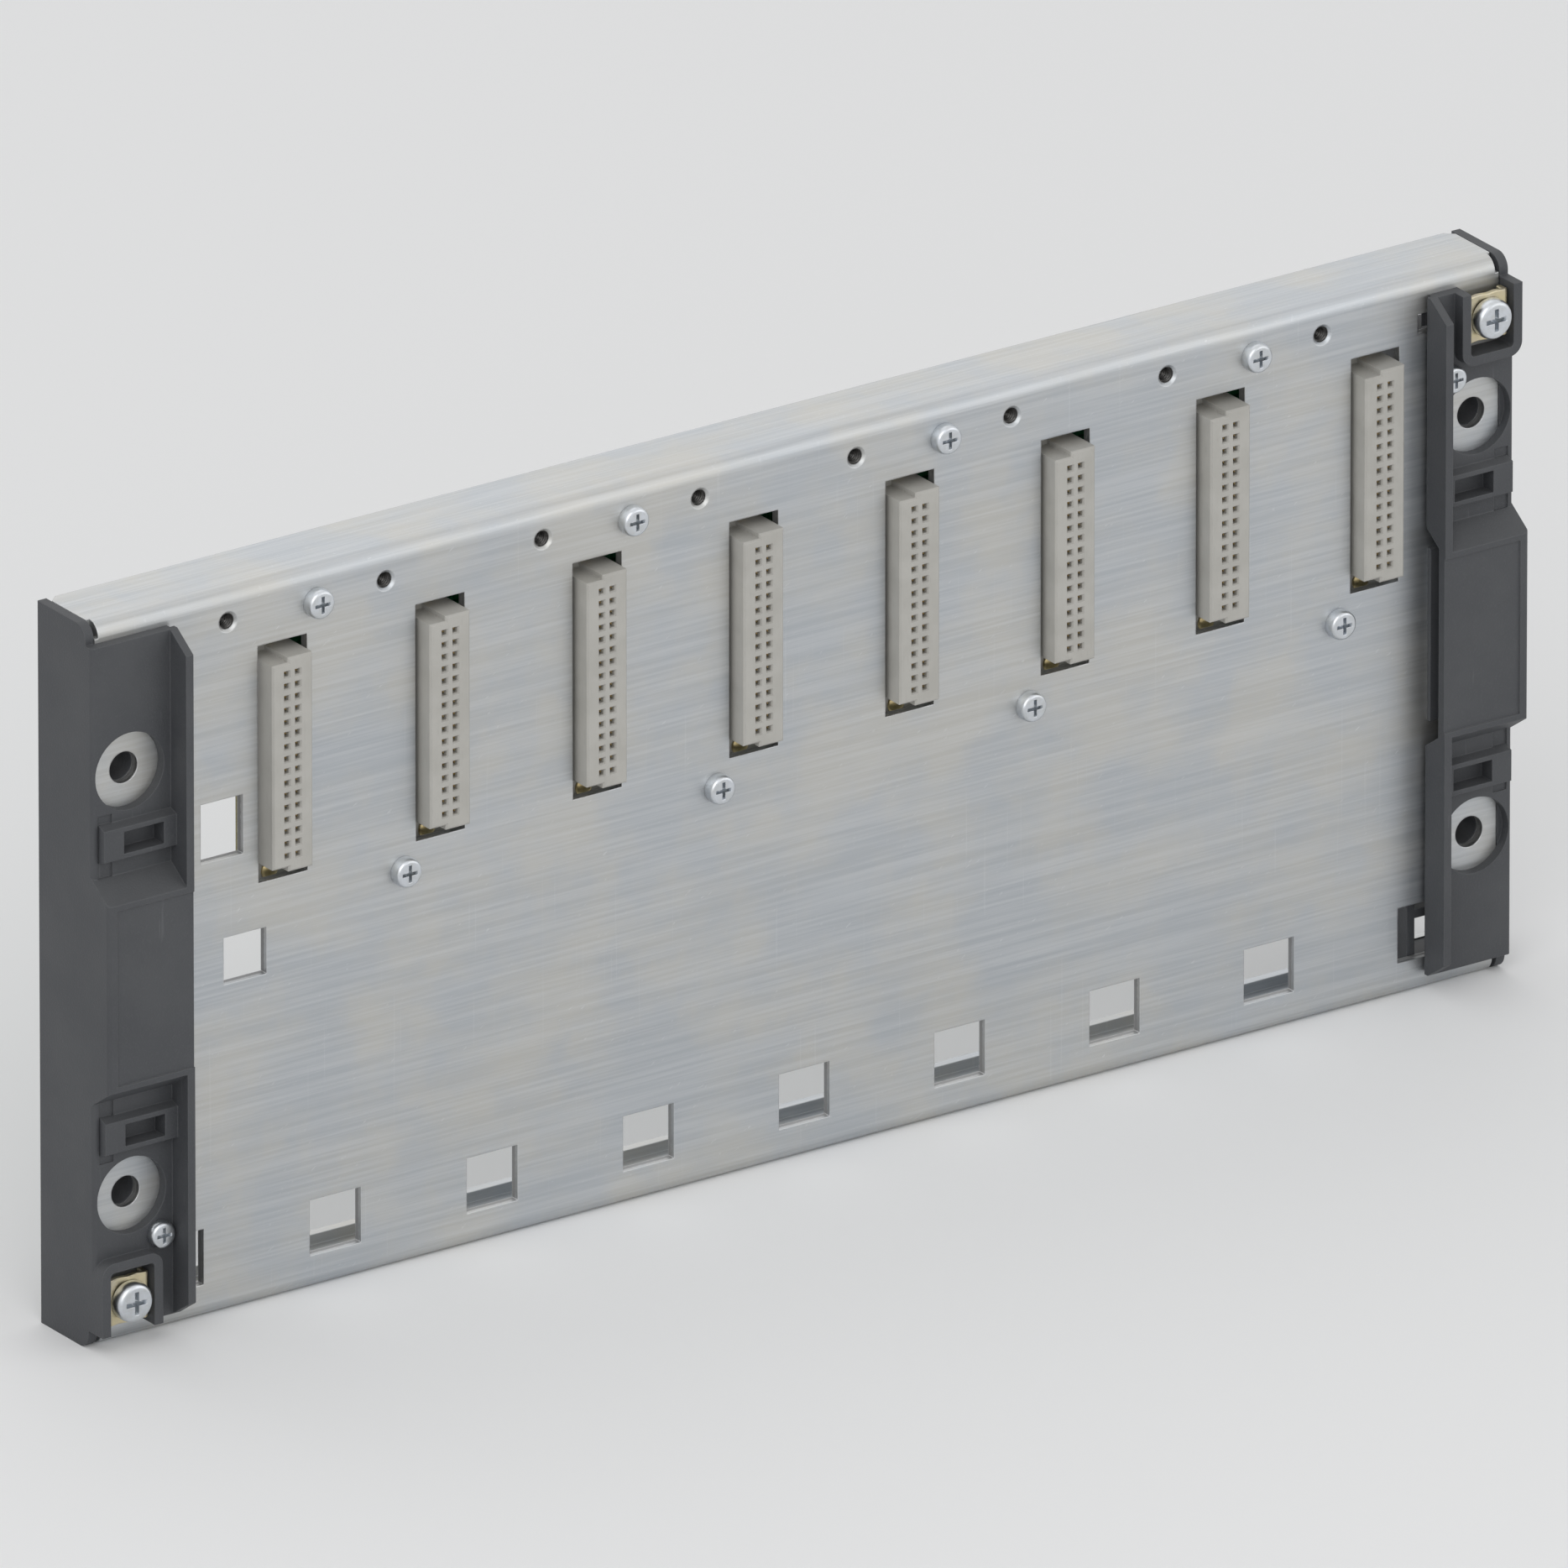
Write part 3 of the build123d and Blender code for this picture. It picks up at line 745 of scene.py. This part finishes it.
def clampDrill():
    radius, length = clampShape["bore"] / 2, clampShape["drillLength"]
    build = bmesh.new()
    bmesh.ops.create_cone(
        build, cap_ends=True, segments=clampShape["boreSides"],
        radius1=radius, radius2=radius, depth=length,
    )
    bmesh.ops.rotate(build, verts=build.verts, matrix=Matrix.Rotation(math.pi / 2, 3, "X"))
    bmesh.ops.translate(build, verts=build.verts, vec=(0.0, clampShape["front"], 0.0))
    return newObject("clampDrill", build)


def growClamps():
    body, drill = clampBody(), clampDrill()
    hole = body.modifiers.new("hole", "BOOLEAN")
    hole.operation = "DIFFERENCE"
    hole.solver = "EXACT"
    hole.object = drill
    rows = bothEnds(groundScrew, 0.0)
    nodes = ["left_ground_clamp", "right_ground_clamp"]
    finish = finishes["clamp_plate"]
    growCopies("groundClampsPressed", body, rows, finish, nodes, sharpAngle=25)
    bpy.data.objects.remove(drill)


growClamps()


# Threads in the tapped holes for the modules, coloured near black as painted shade inside the holes
tappedHole = {
    "Bore": 3.28 * mm, "Root": 3.20 * mm, "Crest": 2.75 * mm, "Pitch": 0.6 * mm,
    "turns": 6, "spokes": 24, "aside": -12.65 * mm, "drop": 6.7 * mm, "depth": 0.55 * mm,
}


def growTappedThreads():
    sheet = startTree("tappedThreads")
    bore, root, crest = (sheet.input(label) * 0.5 for label in ("Bore", "Root", "Crest"))
    spokes, turns, pitch = tappedHole["spokes"], tappedHole["turns"], sheet.input("Pitch")
    thread = threadShape(sheet, spokes, turns, root, crest, pitch, bore)
    y = rack["sheetFront"] + tappedHole["depth"]
    z = rack["top"] - tappedHole["drop"]
    threads = layRows(sheet, thread, [moduleRow(tappedHole["aside"], y, z)])
    growPiece("tappedThreads", sheet, threads, tappedSteelPaintedShade, tappedHole)


growTappedThreads()


# Rivets: a domed head in front, a rolled eyelet at the back of the board
rivetShape = {
    "Head": 4.0 * mm, "Head height": 0.7 * mm, "Shank": 2.6 * mm,
    "spacing": 49.8 * mm, "seat": -11.6 * mm, "spokes": 24,
    # shares of the head's radius and height
    "frontRings": [
        (0.0, 1.0), (0.45, 0.96), (0.78, 0.72), (0.96, 0.34), (1.0, 0.06), (0.97, 0.0),
    ],
    "backRings": [
        (0.94, 0.0286), (1.0, 0.30), (0.88, 0.72), (0.66, 0.90),
        (0.46, 0.55), (0.40, -0.6), (0.0, -0.7),
    ],
}


def growRivets():
    sheet = startTree("connectorRivets")
    head, shank = sheet.input("Head") * 0.5, sheet.input("Shank") * 0.5
    tall = sheet.input("Head height")
    seat, back = rivetShape["seat"], rack["boardBack"]
    rings = [(head * out, 0.0, seat - tall * up) for out, up in rivetShape["frontRings"]]
    rings += [(shank, 0.0, seat), (shank, 0.0, back)]
    rings += [(head * out, 0.0, tall * up + back) for out, up in rivetShape["backRings"]]
    rivet = turnedShape(sheet, rivetShape["spokes"], rings)
    ends = [rack["connectorZ"] + side * rivetShape["spacing"] / 2 for side in (-1, 1)]
    rivets = layRows(sheet, rivet, [moduleRow(z=end) for end in ends])
    finish, nodes = finishes["rivet_brass"], ["connector_rivets"]
    growPiece("connectorRivetsCut", sheet, rivets, finish, rivetShape, nodes)


growRivets()


# Bus connectors: keyed body with two columns of contact mouths
connectorShape = {
    "halfWidth": 4.7 * mm,
    "halfHeight": 22.4 * mm,
    "chamfer": 0.4 * mm,
    "stepX": -1.0 * mm,
    "stepZ": 1.0 * mm,
    "flangeHalf": 27.3 * mm,
    "flangeThickness": 2.6 * mm,
    "flangeCorner": 0.25 * mm,
    "contactRows": 16,
    "contactPitch": 2.54 * mm,
    "columnX": (-1.27 * mm, 1.27 * mm),
    "mouth": 0.80 * mm,
    "hole": 0.52 * mm,
    "leadIn": 0.40 * mm,
    "holeDepth": 4.2 * mm,
}


def contactHeights():
    count, pitch = connectorShape["contactRows"], connectorShape["contactPitch"]
    return [(row - (count - 1) / 2) * pitch for row in range(count)]


def addPit(build, x, z, front):
    # a contact mouth: a lead-in slope, then a square hole
    shape = connectorShape
    mouth, hole = shape["mouth"], shape["hole"]
    sections = [(mouth, 0.0), (hole, shape["leadIn"]), (hole, shape["holeDepth"])]
    rims = []
    for reach, depth in sections:
        corners = [(-reach, -reach), (reach, -reach), (reach, reach), (-reach, reach)]
        rims.append([build.verts.new((x + dx, front + depth, z + dz)) for dx, dz in corners])
    for outer, inner in zip(rims, rims[1:]):
        for first in range(4):
            second = (first + 1) % 4
            build.faces.new((outer[first], outer[second], inner[second], inner[first]))
    build.faces.new(rims[-1])


def addPatch(build, corners, front):
    build.faces.new([build.verts.new((x, front, z)) for x, z in corners])


def addFront(build, front, wide, tall, shortTall, stepX):
    # the front face in patches, open where a mouth stands, and its two ends with their steps
    columns, mouth = connectorShape["columnX"], connectorShape["mouth"]
    rows = contactHeights()
    xLines = sorted([-wide, wide] + [x + side for x in columns for side in (-mouth, mouth)])
    zLines = sorted([z + side for z in rows for side in (-mouth, mouth)])
    for x0, x1 in zip(xLines, xLines[1:]):
        for z0, z1 in zip(zLines, zLines[1:]):
            inColumn = any(abs((x0 + x1) / 2 - column) < mouth for column in columns)
            inRow = any(abs((z0 + z1) / 2 - row) < mouth for row in rows)
            if not (inColumn and inRow):
                addPatch(build, [(x0, z0), (x1, z0), (x1, z1), (x0, z1)], front)
    for side in (-1, 1):
        corners = [(x, side * zLines[-1]) for x in xLines]
        corners += [(wide, side * tall), (stepX, side * tall)]
        corners += [(stepX, side * shortTall), (-wide, side * shortTall)]
        addPatch(build, corners, front)
    for x in columns:
        for z in rows:
            addPit(build, x, z, front)


def connectorBody():
    shape = connectorShape
    front = rack["connectorFront"]
    wide = shape["halfWidth"] - shape["chamfer"]
    tall = shape["halfHeight"] - shape["chamfer"]
    shortTall = tall - shape["stepZ"]
    stepX = shape["stepX"] + shape["chamfer"]
    near = 0.001 * mm
    build = bmesh.new()
    addFront(build, front, wide, tall, shortTall, stepX)
    bmesh.ops.remove_doubles(build, verts=build.verts, dist=near)
    # the rim grows outwards over the chamfer, then straight back to the board
    for back, flare in ((shape["chamfer"], shape["chamfer"]), (rack["boardFront"] - front, 0.0)):
        rim = [edge for edge in build.edges if edge.is_boundary]
        grown = bmesh.ops.extrude_edge_only(build, edges=rim)["geom"]
        for vert in [item for item in grown if isinstance(item, bmesh.types.BMVert)]:
            x, z = vert.co.x, vert.co.z
            if abs(abs(x) - wide) < near:
                vert.co.x += math.copysign(flare, x)
            elif abs(x - stepX) < near and abs(z) > shortTall - near:
                vert.co.x -= flare
            onStep = abs(abs(z) - shortTall) < near and x < stepX + near
            if abs(abs(z) - tall) < near or onStep:
                vert.co.z += math.copysign(flare, z)
            vert.co.y = front + back
    putInOrder(build)
    rim = [edge for edge in build.edges if edge.is_boundary]
    bmesh.ops.contextual_create(build, geom=rim)
    flange = bmesh.ops.create_cube(build, size=1.0)["verts"]
    for vert in flange:
        vert.co.x *= 2 * shape["halfWidth"]
        vert.co.z *= 2 * shape["flangeHalf"]
        vert.co.y = rack["boardFront"] - shape["flangeThickness"] * (0.5 - vert.co.y)
    corner = shape["flangeCorner"]
    bmesh.ops.bevel(build, geom=edgesOf(flange), offset=corner, segments=2, affect="EDGES")
    return newObject("connectorBody", build)


connectorNodes = [f"bus_connector_{number + 1}" for number in range(rack["modules"])]
growCopies(
    "busConnectorsCut", connectorBody(), [moduleRow()], finishes["connector_plastic"],
    connectorNodes,
)


def contactComb(sheet, shape, y):
    # one copy for each contact of one connector
    rows, columns = connectorShape["contactRows"], connectorShape["columnX"]
    extent = {
        "Size X": columns[1] - columns[0], "Size Y": (rows - 1) * connectorShape["contactPitch"],
        "Vertices X": len(columns), "Vertices Y": rows,
    }
    grid = sheet.add("GeometryNodeMeshGrid", {}, extent)
    middle = (sum(columns) / 2, y, 0.0)
    upright = {"Geometry": grid, "Translation": middle, "Rotation": (math.pi / 2, 0.0, 0.0)}
    return spreadOn(sheet, sheet.add("GeometryNodeTransform", {}, upright), shape)


# Contact springs inside the mouths: two bent leaves that nearly meet
leaf = {
    "Width": 0.55 * mm, "Thickness": 0.16 * mm, "start": 1.1 * mm,
    "aside": [0.34 * mm, 0.16 * mm, 0.13 * mm, 0.30 * mm, 0.36 * mm],
    "depth": [0.0, 0.45 * mm, 0.9 * mm, 2.0 * mm, 3.0 * mm],
}


def growContacts():
    sheet = startTree("busContacts")
    width, thickness = sheet.input("Width"), sheet.input("Thickness")
    line = sheet.add("GeometryNodeMeshLine", {"mode": "OFFSET"}, {"Count": len(leaf["depth"])})
    index = sheet.add("GeometryNodeInputIndex")
    spot = sheet.vector(sheet.pick(index, leaf["aside"]), sheet.pick(index, leaf["depth"]), 0.0)
    bent = sheet.add("GeometryNodeSetPosition", {}, {"Geometry": line, "Position": spot})
    path = sheet.add("GeometryNodeMeshToCurve", {}, {"Mesh": bent})
    strip = {"Width": thickness, "Height": width}
    section = sheet.add("GeometryNodeCurvePrimitiveQuadrilateral", {}, strip)
    swept = {"Curve": path, "Profile Curve": section, "Fill Caps": True}
    one = sheet.add("GeometryNodeCurveToMesh", {}, swept)
    turned = {"Geometry": one, "Rotation": (0.0, math.pi, 0.0)}
    other = sheet.add("GeometryNodeTransform", {}, turned)
    pair = gather(sheet, [one, other])
    comb = contactComb(sheet, pair, rack["connectorFront"] + leaf["start"])
    contacts = layRows(sheet, comb, [moduleRow()])
    growPiece("busContacts", sheet, contacts, contactGold, leaf)


growContacts()


# Solder joints and trimmed tails behind the board
tail = {
    "Pin": 0.60 * mm, "Fillet": 1.50 * mm, "Length": 1.5 * mm, "spokes": 10,
    # shares of the fillet's or the pin's radius, and of the length
    "filletRings": [(0.0, 0.0), (1.0, 0.0), (0.94, 0.04), (0.58, 0.24)],
    "pinRings": [(1.06, 0.62), (1.0, 0.93), (0.7, 1.0), (0.0, 0.99)],
}


def growSolderJoints():
    sheet = startTree("solderJoints")
    pin, fillet = sheet.input("Pin") * 0.5, sheet.input("Fillet") * 0.5
    long = sheet.input("Length")
    rings = [(fillet * out, 0.0, long * up) for out, up in tail["filletRings"]]
    rings += [(pin * out, 0.0, long * up) for out, up in tail["pinRings"]]
    joint = turnedShape(sheet, tail["spokes"], rings)
    joints = layRows(sheet, contactComb(sheet, joint, rack["boardBack"]), [moduleRow()])
    growPiece("solderJoints", sheet, joints, solderTin, tail, sharpAngle=60)


growSolderJoints()


# Chips on the back of the board between the connectors: resistors, ceramic and tantalum
# capacitors. A place is how far aside of a connector's middle, and how far up.
chips = {
    "resistor": {
        "size": (2.0 * mm, 0.55 * mm, 1.25 * mm), "cap": 0.38 * mm, "finish": "chipBlack",
        "places": [
            (6.6 * mm, 9.0 * mm), (6.6 * mm, 6.2 * mm), (6.6 * mm, 3.4 * mm), (6.6 * mm, 0.6 * mm),
        ],
    },
    "ceramic": {
        "size": (2.0 * mm, 0.90 * mm, 1.25 * mm), "cap": 0.45 * mm, "finish": "chipTan",
        "places": [(6.6 * mm, 14.8 * mm), (26.4 * mm, -15.2 * mm), (26.4 * mm, 12.0 * mm)],
    },
    "tantalum": {
        "size": (3.5 * mm, 1.90 * mm, 2.8 * mm), "cap": 0.30 * mm, "finish": "chipYellow",
        "places": [(9.4 * mm, -9.5 * mm)],
    },
}
chipDetail = {
    "proud": 0.03 * mm, "bodyCorner": 0.05 * mm, "capCorner": 0.07 * mm,
    "grain": 4200.0, "clouds": 700.0, "grainDepth": 0.010 * mm, "softCorner": 0.09 * mm,
}
# the colour, its cloudy shade and the roughness
chipColours = {
    "chipBlack": ((0.020, 0.020, 0.022), (0.030, 0.030, 0.033), 0.30),
    "chipTan": ((0.36, 0.26, 0.15), (0.42, 0.31, 0.19), 0.36),
    "chipYellow": ((0.55, 0.36, 0.05), (0.60, 0.41, 0.08), 0.40),
}


def chipFinish(name):
    colour, shade, roughness = chipColours[name]
    rubbed = tuple(min(1.0, each * 1.8 + 0.04) for each in colour)

    def build(sheet):
        place = sheet.place()
        grain = sheet.noise(place, chipDetail["grain"], 2.0, 0.6)
        cloud = sheet.noise(place, chipDetail["clouds"], 2.0, 0.5)
        soft = sheet.rounded(chipDetail["softCorner"])
        wear = sheet.edgeWear(soft, grain)
        base = sheet.tint(cloud.fade(0.3, 0.7), colour, shade)
        return {
            "Base Color": sheet.tint(wear * 0.4, base, rubbed),
            "Roughness": roughness + grain * 0.16,
            "Normal": sheet.bump(grain, chipDetail["grainDepth"], soft),
        }

    return makeMaterial(name, build)


def addBlock(build, low, high, corner):
    verts = bmesh.ops.create_cube(build, size=1.0)["verts"]
    for vert in verts:
        for axis in range(3):
            vert.co[axis] = low[axis] + (high[axis] - low[axis]) * (vert.co[axis] + 0.5)
    bmesh.ops.bevel(build, geom=edgesOf(verts), offset=corner, segments=1, affect="EDGES")


def growChips():
    proud = chipDetail["proud"]
    for kind, chip in chips.items():
        length, tall, wide = chip["size"]
        middle = length / 2 - chip["cap"]
        rows = [
            moduleRow(aside, rack["boardBack"], rack["connectorZ"] + up, fewer=1)
            for aside, up in chip["places"]
        ]
        build = bmesh.new()
        low, high = (-middle - proud, proud, -wide / 2), (middle + proud, tall, wide / 2)
        addBlock(build, low, high, chipDetail["bodyCorner"])
        body, finish = newObject(kind, build), chipFinish(chip["finish"])
        growCopies(kind + "Chips", body, rows, finish)
        build = bmesh.new()
        for side in (-1, 1):
            inner, outer = sorted((side * middle, side * length / 2))
            low = (inner, 0.0, -wide / 2 - proud)
            high = (outer, tall + proud, wide / 2 + proud)
            addBlock(build, low, high, chipDetail["capCorner"])
        body = newObject(kind + "Ends", build)
        growCopies(kind + "ChipEnds", body, rows, solderTin)


growChips()


# Floor, lamps and camera
studio = {
    "floorColour": (0.90, 0.905, 0.91),
    "floorShade": (0.87, 0.875, 0.88),
    "floorSize": 16.0,
    "skyStrength": 0.62,
    "backdropStrength": 0.95,
    # place, size and power
    "lamps": {
        "keyLamp": ((-1.30, -1.50, 1.35), 2.3, 16.5),
        "fillLamp": ((1.50, -1.60, 0.60), 2.2, 7.0),
        "backLamp": ((0.30, 1.50, 1.70), 2.4, 5.0),
    },
}
drawingView = {
    "turnLeft": 34.53,  # degrees left of the front
    "lookDown": 22.68,
    "frameWidth": 305.4 * mm,
    "shiftRight": 5.85 * mm,
    "shiftUp": -2.15 * mm,
    "distance": 12.0,  # so far off that the view is nearly parallel, as it is drawn
    "sensorWidth": 36.0,
}


def floorFinish(sheet):
    cloud = sheet.noise(sheet.place(), 3.0, 3.0, 0.5)
    return {
        "Base Color": sheet.tint(cloud * 0.15, studio["floorColour"], studio["floorShade"]),
        "Roughness": 0.9,
        "Specular IOR Level": 0.1,
    }


def layFloor():
    half = studio["floorSize"] / 2
    mesh = bpy.data.meshes.new("studioFloor")
    corners = [(-half, -half), (half, -half), (half, half), (-half, half)]
    mesh.from_pydata([(x, y, rack["bottom"]) for x, y in corners], [], [(0, 1, 2, 3)])
    mesh.materials.append(makeMaterial("paleFloor", floorFinish))
    floor = bpy.data.objects.new("studioFloor", mesh)
    bpy.context.scene.collection.objects.link(floor)


def hangLamps():
    for name, (place, size, power) in studio["lamps"].items():
        light = bpy.data.lights.new(name, "AREA")
        light.shape = "DISK"
        light.size = size
        light.energy = power
        holder = bpy.data.objects.new(name, light)
        holder.location = place
        holder.rotation_euler = Vector(place).to_track_quat("Z", "Y").to_euler()
        bpy.context.scene.collection.objects.link(holder)


def paintSky():
    # the sky lights the rack softly, and is nearly white where it is seen or mirrored
    world = bpy.data.worlds.new("studioSky")
    world.use_nodes = True
    world.node_tree.nodes.clear()
    sheet = NodeSheet(world.node_tree)
    seen = sheet.add("ShaderNodeLightPath", {}, {}, "Is Camera Ray")
    for ray in ("Is Glossy Ray", "Is Transmission Ray"):
        seen = seen.high(sheet.add("ShaderNodeLightPath", {}, {}, ray))
    dim, full = studio["skyStrength"], studio["backdropStrength"]
    white = {"Color": (1.0, 1.0, 1.0, 1.0), "Strength": dim + seen * (full - dim)}
    sky = sheet.add("ShaderNodeBackground", {}, white)
    sheet.add("ShaderNodeOutputWorld", {}, {"Surface": sky})
    bpy.context.scene.world = world


def placeCamera():
    turn = math.radians(drawingView["turnLeft"])
    down = math.radians(drawingView["lookDown"])
    level = math.cos(down)
    back = Vector((-math.sin(turn) * level, -math.cos(turn) * level, math.sin(down)))
    aim = back.to_track_quat("Z", "Y")
    right = aim @ Vector((1, 0, 0))
    up = aim @ Vector((0, 1, 0))
    lens = bpy.data.cameras.new("drawingCamera")
    lens.sensor_width = drawingView["sensorWidth"]
    lens.lens = lens.sensor_width * drawingView["distance"] / drawingView["frameWidth"]
    camera = bpy.data.objects.new("drawingCamera", lens)
    middle = right * drawingView["shiftRight"] + up * drawingView["shiftUp"]
    camera.location = middle + back * drawingView["distance"]
    camera.rotation_euler = aim.to_euler()
    bpy.context.scene.collection.objects.link(camera)
    bpy.context.scene.camera = camera


layFloor()
hangLamps()
paintSky()
placeCamera()
bpy.context.scene.view_settings.view_transform = "Standard"
print("studio set")
